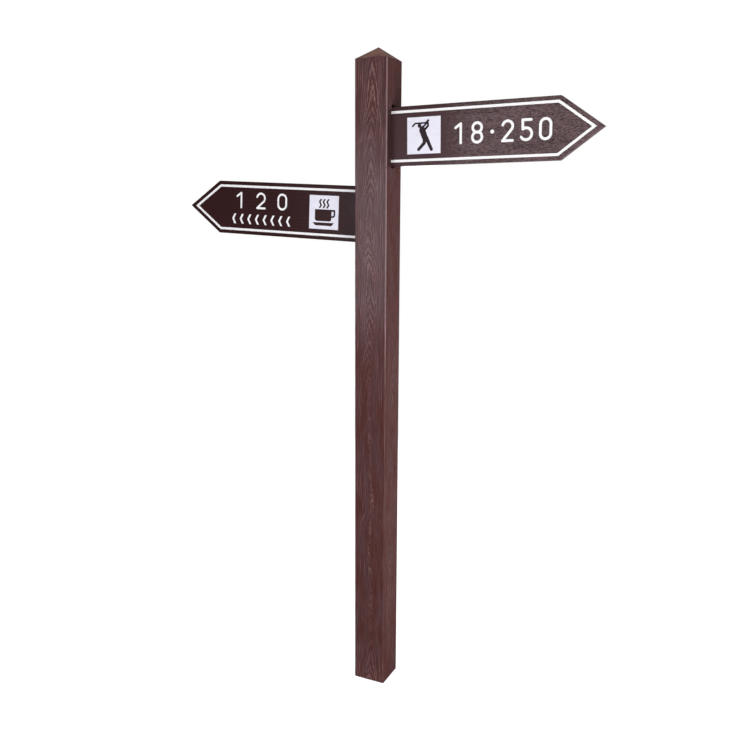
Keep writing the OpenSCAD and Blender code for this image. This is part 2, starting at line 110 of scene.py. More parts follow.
def new_object(name, data):
    """A new object in the scene."""
    made = bpy.data.objects.new(name, data)
    bpy.context.scene.collection.objects.link(made)
    return made


print("post colour in linear light:", [round(c, 3) for c in colour("#4a3335")[:3]])

# %% [markdown]
# ## The pressed grain
# The post is extruded from a mix of wood flour and plastic, and a hot roller presses a wood grain into each
# face. It shows a column of pointed arches up the middle of a face and nearly straight lines beside them, like
# a plank that was sawn beside the heart of a tree. An image would repeat and blur, so the lines are worked out
# from the place on the face. The same recipe serves twice, once to move the mesh and once to colour it, so that
# colour and relief lie on each other.

# %% Where a point lies on the post's skin
def skin_place(tree, position):
    """From a point's place in metres: how far it lies from the middle of its face, its height and the face's
    number, the first two in millimetres."""
    in_mm = add(tree, "ShaderNodeVectorMath", {0: position, "Scale": 1 / MM}, operation="SCALE").outputs[0]
    x, y, z = add(tree, "ShaderNodeSeparateXYZ", {0: in_mm}).outputs
    sign_x = add(tree, "ShaderNodeMath", {0: x}, operation="SIGN").outputs[0]
    sign_y = add(tree, "ShaderNodeMath", {0: y}, operation="SIGN").outputs[0]
    far_x = add(tree, "ShaderNodeMath", {0: x}, operation="ABSOLUTE").outputs[0]
    far_y = add(tree, "ShaderNodeMath", {0: y}, operation="ABSOLUTE").outputs[0]
    on_side = add(tree, "ShaderNodeMath", {0: far_x, 1: far_y}, operation="GREATER_THAN").outputs[0]
    # Across the side faces runs y, and across the front and the back runs x
    across_side = add(tree, "ShaderNodeMath", {0: y, 1: sign_x}, operation="MULTIPLY").outputs[0]
    minus_x = add(tree, "ShaderNodeMath", {0: x, 1: -1.0}, operation="MULTIPLY").outputs[0]
    across_front = add(tree, "ShaderNodeMath", {0: minus_x, 1: sign_y}, operation="MULTIPLY").outputs[0]
    across = add(tree, "ShaderNodeMix", {0: on_side, 2: across_front, 3: across_side}).outputs[0]
    # Front 0, right 1, back 2 and left 3
    number_side = add(tree, "ShaderNodeMath", {0: 2.0, 1: sign_x}, operation="SUBTRACT").outputs[0]
    number_front = add(tree, "ShaderNodeMath", {0: 1.0, 1: sign_y}, operation="ADD").outputs[0]
    number = add(tree, "ShaderNodeMix", {0: on_side, 2: number_front, 3: number_side}).outputs[0]
    return across, z, number


def stretched(tree, across, along, across_mm, along_mm):
    """A place on the face as a vector, in units of across_mm and along_mm."""
    u = add(tree, "ShaderNodeMath", {0: across, 1: 1 / across_mm}, operation="MULTIPLY").outputs[0]
    v = add(tree, "ShaderNodeMath", {0: along, 1: 1 / along_mm}, operation="MULTIPLY").outputs[0]
    return add(tree, "ShaderNodeCombineXYZ", {0: u, 1: v}).outputs[0]


# %% Building blocks of the grain
LINE_REST = 0.06  # how long a raised line stays at its full height, as a share of its spacing


def noise_span(tree, at, low, high, dimensions="3D", detail=1.0, span=(0.3, 0.7), scale=1.0):
    """Noise at a place, spread from low to high. The place is a number in 1D and a vector in 2D and 3D."""
    where = "W" if dimensions == "1D" else "Vector"
    noise = add(tree, "ShaderNodeTexNoise", {where: at, "Scale": scale, "Detail": detail},
                noise_dimensions=dimensions).outputs[0]
    return add(tree, "ShaderNodeMapRange", {0: noise, 1: span[0], 2: span[1], 3: low, 4: high}).outputs[0]


def ridge(tree, count, climb, top, drop):
    """A raised line once in every unit of count. It rises from climb to top and is gone again at drop."""
    phase = add(tree, "ShaderNodeMath", {0: count}, operation="FRACT").outputs[0]
    rise = add(tree, "ShaderNodeMapRange", {0: phase, 1: climb, 2: top},
               interpolation_type="SMOOTHSTEP").outputs[0]
    fall = add(tree, "ShaderNodeMapRange", {0: phase, 1: drop, 2: top + LINE_REST},
               interpolation_type="SMOOTHSTEP").outputs[0]
    return add(tree, "ShaderNodeMath", {0: rise, 1: fall}, operation="MULTIPLY").outputs[0]


def arch_column(tree, off_heart, along, unevenness, spacing, steep, steeper, reach_in, reach_out):
    """A column of pointed arches. At x mm from the heart an arch has fallen by steep x + steeper x x. It is
    broad at its tip, and it fades out from somewhere in the span reach_in to somewhere in reach_out."""
    bend = add(tree, "ShaderNodeMath", {0: off_heart, 1: steeper, 2: steep}, operation="MULTIPLY_ADD")
    leg = add(tree, "ShaderNodeMath", {0: off_heart, 1: bend.outputs[0], 2: along}, operation="MULTIPLY_ADD")
    rough_leg = add(tree, "ShaderNodeMath", {0: leg.outputs[0], 1: unevenness}, operation="ADD").outputs[0]
    count = add(tree, "ShaderNodeMath", {0: rough_leg, 1: 1 / spacing}, operation="MULTIPLY").outputs[0]
    # Every arch has its own reach and height, drawn by its number
    which = add(tree, "ShaderNodeMath", {0: count}, operation="FLOOR").outputs[0]
    luck = add(tree, "ShaderNodeTexWhiteNoise", {"W": which}, noise_dimensions="1D").outputs[0]
    fade_from = add(tree, "ShaderNodeMapRange", {0: luck, 3: reach_in[0], 4: reach_in[1]}).outputs[0]
    fade_to = add(tree, "ShaderNodeMapRange", {0: luck, 3: reach_out[0], 4: reach_out[1]}).outputs[0]
    fade = add(tree, "ShaderNodeMapRange", {0: off_heart, 1: fade_from, 2: fade_to, 3: 1.0, 4: 0.0}).outputs[0]
    height = add(tree, "ShaderNodeMapRange", {0: luck, 3: 0.5, 4: 1.0}).outputs[0]
    faded = add(tree, "ShaderNodeMath", {0: fade, 1: height}, operation="MULTIPLY").outputs[0]
    climb = add(tree, "ShaderNodeMapRange", {0: off_heart, 1: 0.0, 2: 12.0, 3: 0.25, 4: 0.5}).outputs[0]
    arch = ridge(tree, count, climb, top=0.76, drop=0.98)
    return add(tree, "ShaderNodeMath", {0: arch, 1: faded}, operation="MULTIPLY").outputs[0]


# %% The arches up the middle
ARCH_MM = 42.0  # from the tip of one long arch to the next
FLECK_MM = 19.0  # from one small arch in the middle to the next
CROWD_MM, CROWD_WAVE = 38.0, 180.0  # the arches crowd and part by so much, over such a length
TOOTH_MM = 9.0  # how far the teeth of a saw-toothed arch stand out


def share(tree, swing, with_small, with_long):
    """How much of something shows, from the stretch with small arches to the one with long arches."""
    return add(tree, "ShaderNodeMapRange", {0: swing, 1: -0.5, 2: 0.3, 3: with_small, 4: with_long}).outputs[0]


def arches(tree, across, along, off_heart, swing):
    """The arches of the heartwood. One half of the roller carries the long ones, the other the small ones."""
    uneven_at = add(tree, "ShaderNodeMath", {0: along, 1: 1 / CROWD_WAVE}, operation="MULTIPLY").outputs[0]
    uneven = noise_span(tree, uneven_at, -CROWD_MM, CROWD_MM, "1D")
    teeth_at = stretched(tree, across, along, 3.5, 10.0)
    teeth = noise_span(tree, teeth_at, -TOOTH_MM, TOOTH_MM, "2D", detail=2.0, span=(0.25, 0.75))
    rough = add(tree, "ShaderNodeMath", {0: uneven, 1: teeth}, operation="ADD").outputs[0]
    long_arch = arch_column(tree, off_heart, along, rough, ARCH_MM, steep=1.8, steeper=0.13,
                            reach_in=(10.0, 22.0), reach_out=(22.0, 50.0))
    long_share = share(tree, swing, 0.1, 1.0)
    long_part = add(tree, "ShaderNodeMath", {0: long_arch, 1: long_share}, operation="MULTIPLY").outputs[0]
    small_arch = arch_column(tree, off_heart, along, rough, FLECK_MM, steep=2.2, steeper=0.2,
                             reach_in=(1.0, 5.0), reach_out=(6.0, 15.0))
    patches_at = stretched(tree, across, along, 18.0, 40.0)
    patches = noise_span(tree, patches_at, 0.35, 1.0, "2D", detail=2.0, span=(0.4, 0.54))
    small_share = share(tree, swing, 1.0, 0.3)
    small_part = add(tree, "ShaderNodeMath", {0: small_arch, 1: patches}, operation="MULTIPLY").outputs[0]
    small_part = add(tree, "ShaderNodeMath", {0: small_part, 1: small_share}, operation="MULTIPLY").outputs[0]
    both_parts = add(tree, "ShaderNodeMath", {0: long_part, 1: small_part}, operation="MAXIMUM").outputs[0]
    # The roller is worn, so the arches break up into flecks
    whole_at = stretched(tree, across, along, 4.5, 15.0)
    whole = noise_span(tree, whole_at, share(tree, swing, 0.45, 0.65), 1.0, "2D", detail=2.0, span=(0.38, 0.54))
    return add(tree, "ShaderNodeMath", {0: both_parts, 1: whole}, operation="MULTIPLY").outputs[0]


print("long arches up a face:", round(1865 / ARCH_MM))

# %% The lines at the sides
LINE_MM = 5.4  # from one straight line to the next at the sides


def side_lines(tree, across, along, off_heart, swing):
    """The straight lines beside the arches, which sway a little and come and go."""
    sway = noise_span(tree, stretched(tree, across, along, 40.0, 230.0), -4.0, 4.0, "2D")
    swayed = add(tree, "ShaderNodeMath", {0: off_heart, 1: sway}, operation="ADD").outputs[0]
    count = add(tree, "ShaderNodeMath", {0: swayed, 1: 1 / LINE_MM}, operation="MULTIPLY").outputs[0]
    come_and_go_at = stretched(tree, across, along, 7.0, 120.0)
    come_and_go = noise_span(tree, come_and_go_at, 0.05, 0.8, "2D", detail=2.0, span=(0.4, 0.65))
    beside = add(tree, "ShaderNodeMapRange", {0: off_heart, 1: 7.0, 2: 22.0}).outputs[0]
    line_share = share(tree, swing, 0.5, 1.0)
    part = add(tree, "ShaderNodeMath", {0: come_and_go, 1: beside}, operation="MULTIPLY").outputs[0]
    part = add(tree, "ShaderNodeMath", {0: part, 1: line_share}, operation="MULTIPLY").outputs[0]
    line = ridge(tree, count, climb=0.3, top=0.66, drop=0.98)
    return add(tree, "ShaderNodeMath", {0: line, 1: part}, operation="MULTIPLY").outputs[0]


print("straight lines across a face:", round(100 / LINE_MM))

# %% The whole grain
HEART_MM, HEART_WAVE = 9.0, 400.0  # the heart line wanders to and fro by so much, over such a length
FACE_SHIFT = 937.0  # each face shows another stretch of the roller
ROLLER_ROUND = 1900.0  # the pattern comes round again after this length
ROLLER_START = -3.46  # where in its round the roller starts at the foot of the front, in radians
SIDE_PRESS = 0.45  # how hard the side faces are pressed, against 1 for the front and the back


def grain(tree, position):
    """The grain as sockets from 0 to 1, the raised lines and the fine fibres between them, and the place."""
    across, z, number = skin_place(tree, position)
    along = add(tree, "ShaderNodeMath", {0: number, 1: FACE_SHIFT, 2: z}, operation="MULTIPLY_ADD").outputs[0]
    heart_at = add(tree, "ShaderNodeMath", {0: along, 1: 1 / HEART_WAVE}, operation="MULTIPLY").outputs[0]
    heart = noise_span(tree, heart_at, -HEART_MM, HEART_MM, "1D")
    from_heart = add(tree, "ShaderNodeMath", {0: across, 1: heart}, operation="SUBTRACT").outputs[0]
    off_heart = add(tree, "ShaderNodeMath", {0: from_heart}, operation="ABSOLUTE").outputs[0]
    turned = add(tree, "ShaderNodeMath", {0: along, 1: 2 * math.pi / ROLLER_ROUND, 2: ROLLER_START},
                 operation="MULTIPLY_ADD").outputs[0]
    swing = add(tree, "ShaderNodeMath", {0: turned}, operation="SINE").outputs[0]
    arch = arches(tree, across, along, off_heart, swing)
    straight = side_lines(tree, across, along, off_heart, swing)
    full_line = add(tree, "ShaderNodeMath", {0: arch, 1: straight}, operation="MAXIMUM").outputs[0]
    # The numbers of the side faces are odd
    half_number = add(tree, "ShaderNodeMath", {0: number, 1: 0.5}, operation="MULTIPLY").outputs[0]
    odd = add(tree, "ShaderNodeMath", {0: half_number}, operation="FRACT").outputs[0]
    press = add(tree, "ShaderNodeMapRange", {0: odd, 1: 0.1, 2: 0.4, 3: 1.0, 4: SIDE_PRESS}).outputs[0]
    line = add(tree, "ShaderNodeMath", {0: full_line, 1: press}, operation="MULTIPLY").outputs[0]
    fibre = noise_span(tree, stretched(tree, across, along, 1.6, 42.0), 0.0, 1.0, "2D", detail=3.0)
    return line, fibre, across, along


# %% [markdown]
# ## The skin of the post
# The grain could be bump alone, but bump vanishes at the outline and in a close view. Here it is a real surface.
# A fine net of points is wrapped round the post, and the points sink in wherever the roller pressed. No point
# comes out, so the post keeps its size. The net is then cut with the CAD post, which brings the bore, the
# slots and the screw holes from the CAD model exactly.

# %% A fine net round the post
post_low, post_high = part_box("post_shell")
HALF = post_high.x
CORNER = 3 * MM
NET_ACROSS = 1.3 * MM
NET_UP = 3.2 * MM
CORNER_STEPS = 6
SKIN_INSET = 0.02 * MM  # so that the net never lies exactly in the CAD faces that it is cut with


def net_outline():
    """The points round the post's section, anticlockwise from the front left corner."""
    half, radius = HALF - SKIN_INSET, CORNER - SKIN_INSET
    flat = half - radius
    steps = round(2 * flat / NET_ACROSS)
    points = []
    for face in range(4):
        turn = Matrix.Rotation(math.radians(90 * face), 2)
        for i in range(steps + 1):
            points.append(turn @ Vector((-flat + 2 * flat * i / steps, -half)))
        for i in range(1, CORNER_STEPS):
            a = math.radians(-90 + 90 * i / CORNER_STEPS)
            points.append(turn @ Vector((flat + radius * math.cos(a), -flat + radius * math.sin(a))))
    return points


outline = net_outline()
rows = round((post_high.z - post_low.z) / NET_UP) + 1
heights = np.linspace(post_low.z - MM, post_high.z + MM, rows)
net_points = [(p.x, p.y, z) for z in heights for p in outline]
n = len(outline)
net_faces = [
    (r * n + c, r * n + (c + 1) % n, (r + 1) * n + (c + 1) % n, (r + 1) * n + c)
    for r in range(rows - 1) for c in range(n)
]
net_faces += [tuple(reversed(range(n))), tuple(range((rows - 1) * n, rows * n))]
net_mesh = bpy.data.meshes.new("post_skin")
net_mesh.from_pydata(net_points, [], net_faces)
post_skin = new_object("post_skin", net_mesh)
print("net:", n, "points round,", rows, "rows up,", len(net_faces), "faces")

# %% Press the grain into the net
PRESS_DEPTH = 0.45 * MM
FIBRE_DEPTH = 0.10 * MM

press = bpy.data.node_groups.new("press_grain", "GeometryNodeTree")
press.interface.new_socket("Geometry", in_out="INPUT", socket_type="NodeSocketGeometry")
press.interface.new_socket("Geometry", in_out="OUTPUT", socket_type="NodeSocketGeometry")
press_in = add(press, "NodeGroupInput").outputs[0]
line, fibre, *_ = grain(press, add(press, "GeometryNodeInputPosition").outputs[0])
low = add(press, "ShaderNodeMath", {0: 1.0, 1: line}, operation="SUBTRACT").outputs[0]
low_fibre = add(press, "ShaderNodeMath", {0: 1.0, 1: fibre}, operation="SUBTRACT").outputs[0]
sunk = add(press, "ShaderNodeMath", {0: low, 1: -PRESS_DEPTH}, operation="MULTIPLY").outputs[0]
sunk_all = add(press, "ShaderNodeMath", {0: low_fibre, 1: -FIBRE_DEPTH, 2: sunk}, operation="MULTIPLY_ADD")
outward = add(press, "GeometryNodeInputNormal").outputs[0]
move = add(press, "ShaderNodeVectorMath", {0: outward, "Scale": sunk_all.outputs[0]}, operation="SCALE")
pressed = add(press, "GeometryNodeSetPosition", {"Geometry": press_in, "Offset": move.outputs[0]}).outputs[0]
add(press, "NodeGroupOutput", {0: pressed})
post_skin.modifiers.new("press_grain", "NODES").node_group = press
print("nodes that press the grain:", len(press.nodes))

# %% Cut the net with the CAD post
def welded(cad_name):
    """A new mesh with the shape of a CAD node: its points joined where faces meet, its flat faces whole."""
    source = frame["nodes"][cad_name].data
    mesh = bpy.data.meshes.new(cad_name + "_welded")
    mesh.from_pydata([v.co for v in source.vertices], [], [p.vertices for p in source.polygons])
    b = bmesh.new()
    b.from_mesh(mesh)
    bmesh.ops.remove_doubles(b, verts=b.verts, dist=2e-6)
    bmesh.ops.dissolve_limit(b, angle_limit=math.radians(0.3), verts=b.verts, edges=b.edges)
    b.to_mesh(mesh)
    b.free()
    return mesh


def shade(mesh, angle=35):
    """Smooth shading that stops at edges sharper than angle degrees."""
    mesh.shade_smooth()
    mesh.set_sharp_from_angle(angle=math.radians(angle))


cutter = new_object("cutter", welded("post_shell"))
cut = post_skin.modifiers.new("cut", "BOOLEAN")
cut.operation = "INTERSECT"
cut.solver = "MANIFOLD"
cut.object = cutter
bpy.context.view_layer.update()
skin_mesh = bpy.data.meshes.new_from_object(post_skin.evaluated_get(bpy.context.evaluated_depsgraph_get()))
post_skin.modifiers.clear()
post_skin.data = skin_mesh
bpy.data.objects.remove(cutter)
shade(skin_mesh)
print("pressed and cut post:", len(skin_mesh.polygons), "faces")

# %% Tell the skin from the sawn faces
def of_each_face(mesh, what):
    """A vector for each face of a mesh, such as its centre or its normal."""
    values = np.zeros(len(mesh.polygons) * 3, np.float32)
    mesh.polygons.foreach_get(what, values)
    return values.reshape(-1, 3)


centres = of_each_face(skin_mesh, "center")
normals = of_each_face(skin_mesh, "normal")
reach = np.abs(centres[:, :2]).max(1)
facing = (centres[:, :2] * normals[:, :2]).sum(1) / np.linalg.norm(centres[:, :2], axis=1)
inside = reach < HALF - 1.2 * MM
on_corner = (reach > HALF - 2.5 * MM) & (facing > 0.6)
level_cut = np.abs(normals[:, 2]) > 0.8
is_sawn = inside & ~on_corner | level_cut
print("faces of the skin:", int((~is_sawn).sum()), " sawn or inner faces:", int(is_sawn.sum()))

# %% [markdown]
# ## Wood-plastic composite, embossed
# The real stuff is polyethylene or polystyrene filled with wood flour: a dull, slightly waxy brown that drifts
# between red and grey as the extruder mixes it. The raised lines are rubbed paler. The corners are paler too,
# partly where hands and straps have polished them and partly as a painted highlight, and a strip of painted
# shade lies beside them. Plastic's IOR of 1.5 stays, with a low specular level, because the wood flour dulls
# what the surface mirrors. The roughness is about 0.2, as the hot rollers leave the skin quite smooth.

# %% Worn corners with a painted highlight, and painted shade beside them and before the slot
def corner_wear_highlight_shade(tree, position, across):
    """How much the corners are painted paler, within 3 to 4 mm of the edge, partly as wear and partly as a
    painted highlight, and how much painted shade lies on the outer 15 mm of the faces beside that. Both are
    strongest above mid height and at the front right."""
    far = add(tree, "ShaderNodeMath", {0: across}, operation="ABSOLUTE").outputs[0]
    ragged = add(tree, "ShaderNodeTexNoise", {"Vector": position, "Scale": 60.0, "Detail": 3.0}).outputs[0]
    far = add(tree, "ShaderNodeMath", {0: ragged, 1: 2.4, 2: far}, operation="MULTIPLY_ADD").outputs[0]
    edge_strip = add(tree, "ShaderNodeMapRange", {0: far, 1: 46.9, 2: 48.3},
                     interpolation_type="SMOOTHSTEP").outputs[0]
    corner_shade_strip = add(tree, "ShaderNodeMapRange", {0: far, 1: 36.0, 2: 45.0},
                     interpolation_type="SMOOTHSTEP").outputs[0]
    x, y, z = add(tree, "ShaderNodeSeparateXYZ", {0: position}).outputs
    # The paler corner and the shade beside it are painted strongest above mid height and at the front right
    above_mid_height = add(tree, "ShaderNodeMapRange", {0: z, 1: 0.93, 2: 1.12, 3: 0.05, 4: 0.95}).outputs[0]
    front_right = add(tree, "ShaderNodeMath", {0: x, 1: y}, operation="SUBTRACT").outputs[0]
    toward_front_right = add(tree, "ShaderNodeMapRange", {
        0: front_right, 1: 70 * MM, 2: 85 * MM, 3: 0.15, 4: 1.0}).outputs[0]
    height_and_side_share = add(tree, "ShaderNodeMath", {0: above_mid_height, 1: toward_front_right}, operation="MULTIPLY").outputs[0]
    rubbed_and_highlit = add(tree, "ShaderNodeMath", {0: edge_strip, 1: height_and_side_share}, operation="MULTIPLY").outputs[0]
    painted_corner_shade = add(tree, "ShaderNodeMath", {0: corner_shade_strip, 1: height_and_side_share}, operation="MULTIPLY").outputs[0]
    return rubbed_and_highlit, add(tree, "ShaderNodeMath", {0: painted_corner_shade, 1: 0.55}, operation="MULTIPLY").outputs[0]


def painted_slot_shade(tree, position):
    """Painted shade on the strip of post in front of the right slot, at the height of the board."""
    x, y, z = add(tree, "ShaderNodeSeparateXYZ", {0: position}).outputs
    low_end, high_end = (corner.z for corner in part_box("right_board"))
    above = add(tree, "ShaderNodeMapRange", {0: z, 1: low_end - 3 * MM, 2: low_end + 6 * MM}).outputs[0]
    below = add(tree, "ShaderNodeMapRange", {0: z, 1: high_end - 11 * MM, 2: high_end - 16 * MM}).outputs[0]
    beside_slot = add(tree, "ShaderNodeMath", {0: above, 1: below}, operation="MULTIPLY").outputs[0]
    on_right = add(tree, "ShaderNodeMapRange", {0: x, 1: HALF - 1.2 * MM, 2: HALF - 0.7 * MM}).outputs[0]
    before_slot = add(tree, "ShaderNodeMapRange", {0: y, 1: -12 * MM, 2: -20 * MM}).outputs[0]
    strip = add(tree, "ShaderNodeMath", {0: on_right, 1: before_slot}, operation="MULTIPLY").outputs[0]
    slot_shade = add(tree, "ShaderNodeMath", {0: beside_slot, 1: strip}, operation="MULTIPLY").outputs[0]
    return add(tree, "ShaderNodeMath", {0: slot_shade, 1: 0.85}, operation="MULTIPLY").outputs[0]


# %% Embossed wood-plastic composite
DARK_BROWN = "#432624"
RED_BROWN = "#542f2b"
GREY_BROWN = "#573c3e"
RIDGE = "#8c6866"
# Pale corner colour: partly wear, partly a painted highlight
WORN_AND_HIGHLIGHT = "#7f6567"
# Colour of the painted shade before the right slot
SLOT_SHADE_BROWN = "#2f1a19"


def embossed_composite():
    material, tree = new_material("embossed_wood_plastic_composite")
    position = add(tree, "ShaderNodeTexCoord").outputs["Object"]
    line, fibre, across, along = grain(tree, position)
    # Drifts of colour, 30 mm wide and 130 mm long
    drift_at = stretched(tree, across, along, 30.0, 130.0)
    drift = noise_span(tree, drift_at, 0.0, 1.0, "2D", detail=3.0, span=(0.35, 0.65))
    tone = add(tree, "ShaderNodeMix", {0: drift, 6: colour(RED_BROWN), 7: colour(GREY_BROWN)},
               data_type="RGBA").outputs[2]
    dark = add(tree, "ShaderNodeMapRange", {0: fibre, 3: 0.75, 4: 0.0}).outputs[0]
    tone = add(tree, "ShaderNodeMix", {0: dark, 6: tone, 7: colour(DARK_BROWN)}, data_type="RGBA").outputs[2]
    # The lines aren't rubbed alike everywhere
    rub = noise_span(tree, position, 0.4, 1.0, detail=2.0, span=(0.35, 0.65), scale=9.0)
    rubbed_line = add(tree, "ShaderNodeMath", {0: line, 1: rub}, operation="MULTIPLY").outputs[0]
    tone = add(tree, "ShaderNodeMix", {0: rubbed_line, 6: tone, 7: colour(RIDGE)}, data_type="RGBA").outputs[2]
    # Paler corners, partly wear and partly a painted highlight, with painted shade beside them
    wear_and_highlight, painted_corner_shade = corner_wear_highlight_shade(tree, position, across)
    # Painted shade on the strip before the right slot
    slot_shade = painted_slot_shade(tree, position)
    tone = add(tree, "ShaderNodeMix", {0: painted_corner_shade, 6: tone, 7: colour(DARK_BROWN)}, data_type="RGBA").outputs[2]
    tone = add(tree, "ShaderNodeMix", {0: slot_shade, 6: tone, 7: colour(SLOT_SHADE_BROWN)}, data_type="RGBA").outputs[2]
    tone = add(tree, "ShaderNodeMix", {0: wear_and_highlight, 6: tone, 7: colour(WORN_AND_HIGHLIGHT)}, data_type="RGBA").outputs[2]
    # Where the slot shade is painted, the surface is also made rougher
    gloss = add(tree, "ShaderNodeMapRange", {0: fibre, 3: 0.24, 4: 0.16}).outputs[0]
    gloss = add(tree, "ShaderNodeMath", {0: slot_shade, 1: 0.5, 2: gloss}, operation="MULTIPLY_ADD").outputs[0]
    bump = add(tree, "ShaderNodeBump", {"Strength": 0.8, "Distance": 0.2 * MM, "Height": fibre}).outputs[0]
    shader = add(tree, "ShaderNodeBsdfPrincipled", {
        "Base Color": tone, "Roughness": gloss, "IOR": 1.5, "Specular IOR Level": 0.24, "Normal": bump,
    })
    add(tree, "ShaderNodeOutputMaterial", {0: shader.outputs[0]})
    return material


composite = embossed_composite()
print(composite.name, "with", len(composite.node_tree.nodes), "nodes")

# %% [markdown]
# Where the post was sawn to length and milled for the slots, the foamed inside of the extrusion shows. It has no
# roller's grain, and it is matt, with small pores and the arcs that a saw blade leaves. Its brown is painted
# much darker than the skin's, as painted shade, so that the slots look dark inside.

# %% Sawn composite, painted dark as shade
def sawn_composite_painted_dark():
    material, tree = new_material("sawn_wood_plastic_composite_painted_dark")
    position = add(tree, "ShaderNodeTexCoord").outputs["Object"]
    pores = add(tree, "ShaderNodeTexVoronoi", {"Vector": position, "Scale": 1 / (1.8 * MM)}, feature="F1")
    pore = add(tree, "ShaderNodeMapRange", {0: pores.outputs["Distance"], 1: 0.12, 2: 0.4}).outputs[0]
    saw = add(tree, "ShaderNodeTexWave", {
        "Vector": position, "Scale": 1 / (22 * MM), "Distortion": 3.0, "Detail": 2.0}).outputs["Fac"]
    # The browns are painted dark, as painted shade inside the slots
    tone = add(tree, "ShaderNodeMix", {0: saw, 6: colour("#261716"), 7: colour("#33211f")},
               data_type="RGBA").outputs[2]
    tone = add(tree, "ShaderNodeMix", {0: pore, 6: colour("#120b0a"), 7: tone}, data_type="RGBA").outputs[2]
    bump = add(tree, "ShaderNodeBump", {"Strength": 0.6, "Distance": 0.3 * MM, "Height": pore}).outputs[0]
    shader = add(tree, "ShaderNodeBsdfPrincipled", {
        "Base Color": tone, "Roughness": 0.75, "IOR": 1.5, "Specular IOR Level": 0.25, "Normal": bump,
    })
    add(tree, "ShaderNodeOutputMaterial", {0: shader.outputs[0]})
    return material


skin_mesh.materials.clear()
skin_mesh.materials.append(composite)
skin_mesh.materials.append(sawn_composite_painted_dark())
skin_mesh.polygons.foreach_set("material_index", is_sawn.astype(np.int32))
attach(post_skin, "post")
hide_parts("post_shell")
skin_points = np.array([v.co for v in skin_mesh.vertices]) / MM
print("post_skin box, mm:", skin_points.min(0).round(2), skin_points.max(0).round(2))

# %% [markdown]
# ## The pyramid top
# The top is moulded on its own, in a slightly lighter and redder brown without grain, and glued in with a
# spigot. Its ridges are rounded by a few millimetres. Its rim stays sharp, because the thin dark line at the
# shoulder is only the joint with some dirt in it. A modifier would round every edge, the spigot's too, so the
# CAD solid is copied and the ridges are picked out by where they lie.

# %% Copy a CAD piece and round its ridges
SHOULDER = post_high.z


def copy_of(cad_name, name):
    """A copy of a CAD node as a new piece that stands for it and rides on the same body."""
    piece = new_object(name, welded(cad_name))
    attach(piece, frame["nodes"][cad_name]["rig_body"])
    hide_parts(cad_name)
    return piece


def round_edges(piece, chosen, width, steps):
    """Rounds the edges for which chosen(edge) is true."""
    b = bmesh.new()
    b.from_mesh(piece.data)
    edges = [e for e in b.edges if len(e.link_faces) == 2 and chosen(e)]
    bmesh.ops.bevel(
        b, geom=edges, offset=width, segments=steps, profile=0.5, affect="EDGES", clamp_overlap=True)
    b.to_mesh(piece.data)
    b.free()
    print(piece.name, "rounded", len(edges), "edges by", round(width / MM, 2), "mm")


def is_ridge(edge):
    """Whether an edge climbs from the shoulder or above it."""
    ends = [v.co for v in edge.verts]
    return all(p.z > SHOULDER - 0.01 * MM for p in ends) and abs(ends[0].z - ends[1].z) > 5 * MM


post_top = copy_of("post_cap", "post_top")
round_edges(post_top, is_ridge, 2.2 * MM, 3)
shade(post_top.data, 22)
print("post_top faces:", len(post_top.data.polygons))

# %% [markdown]
# The top is moulded polystyrene with a spark-eroded texture, so it is matt all over, with faint clouds in its
# brown. Dirt gathers in the joint at its foot.

# %% Moulded plastic
def moulded_top():
    material, tree = new_material("moulded_brown_plastic")
    position = add(tree, "ShaderNodeTexCoord").outputs["Object"]
    cloud = noise_span(tree, position, 0.0, 1.0, detail=3.0, span=(0.35, 0.65), scale=1 / (35 * MM))
    tone = add(tree, "ShaderNodeMix", {0: cloud, 6: colour("#84605a"), 7: colour("#a1796b")},
               data_type="RGBA").outputs[2]
    # The texture's grains are about 1 mm apart
    grit = add(tree, "ShaderNodeTexNoise", {
        "Vector": position, "Scale": 1 / (1.0 * MM), "Detail": 2.0}).outputs[0]
    bump = add(tree, "ShaderNodeBump", {"Strength": 0.35, "Distance": 0.1 * MM, "Height": grit}).outputs[0]
    # Dirt in the last 3 mm above the joint
    z = add(tree, "ShaderNodeSeparateXYZ", {0: position}).outputs[2]
    joint = add(tree, "ShaderNodeMapRange", {
        0: z, 1: SHOULDER + 0.6 * MM, 2: SHOULDER + 3.0 * MM, 3: 0.6, 4: 0.0}).outputs[0]
    tone = add(tree, "ShaderNodeMix", {0: joint, 6: tone, 7: colour("#2c1c1b")}, data_type="RGBA").outputs[2]
    shader = add(tree, "ShaderNodeBsdfPrincipled", {
        "Base Color": tone, "Roughness": 0.6, "IOR": 1.5, "Specular IOR Level": 0.12, "Normal": bump,
    })
    add(tree, "ShaderNodeOutputMaterial", {0: shader.outputs[0]})
    return material


moulded = moulded_top()
post_top.data.materials.append(moulded)
print(moulded.name, "with", len(moulded.node_tree.nodes), "nodes")

# %% [markdown]
# ## The boards
# Each board is a plank of the same composite, milled to an arrow, with pockets for everything white. The CAD
# solid has it all, but its outline is knife-sharp. Only the outline is rounded here. The walls of the pockets
# stay sharp, as a router leaves them. An edge belongs to the outline if nothing of the board lies beyond it.

# %% Round the outlines of the boards
BOARD_EDGE = 0.9 * MM


def round_outline(piece):
    points = np.array([v.co for v in piece.data.vertices])

    def on_outline(edge):
        first, second = edge.link_faces
        if first.normal.dot(second.normal) > 0.9:
            return False
        for face in (first, second):
            if abs(face.normal.y) < 0.1:
                beyond = (points @ np.array(face.normal)).max() - edge.verts[0].co.dot(face.normal)
                if beyond > 0.05 * MM:
                    return False
        return True

    round_edges(piece, on_outline, BOARD_EDGE, 3)
    shade(piece.data)


right_arrow = copy_of("right_board", "right_arrow")
left_arrow = copy_of("left_board", "left_arrow")
round_outline(right_arrow)
round_outline(left_arrow)

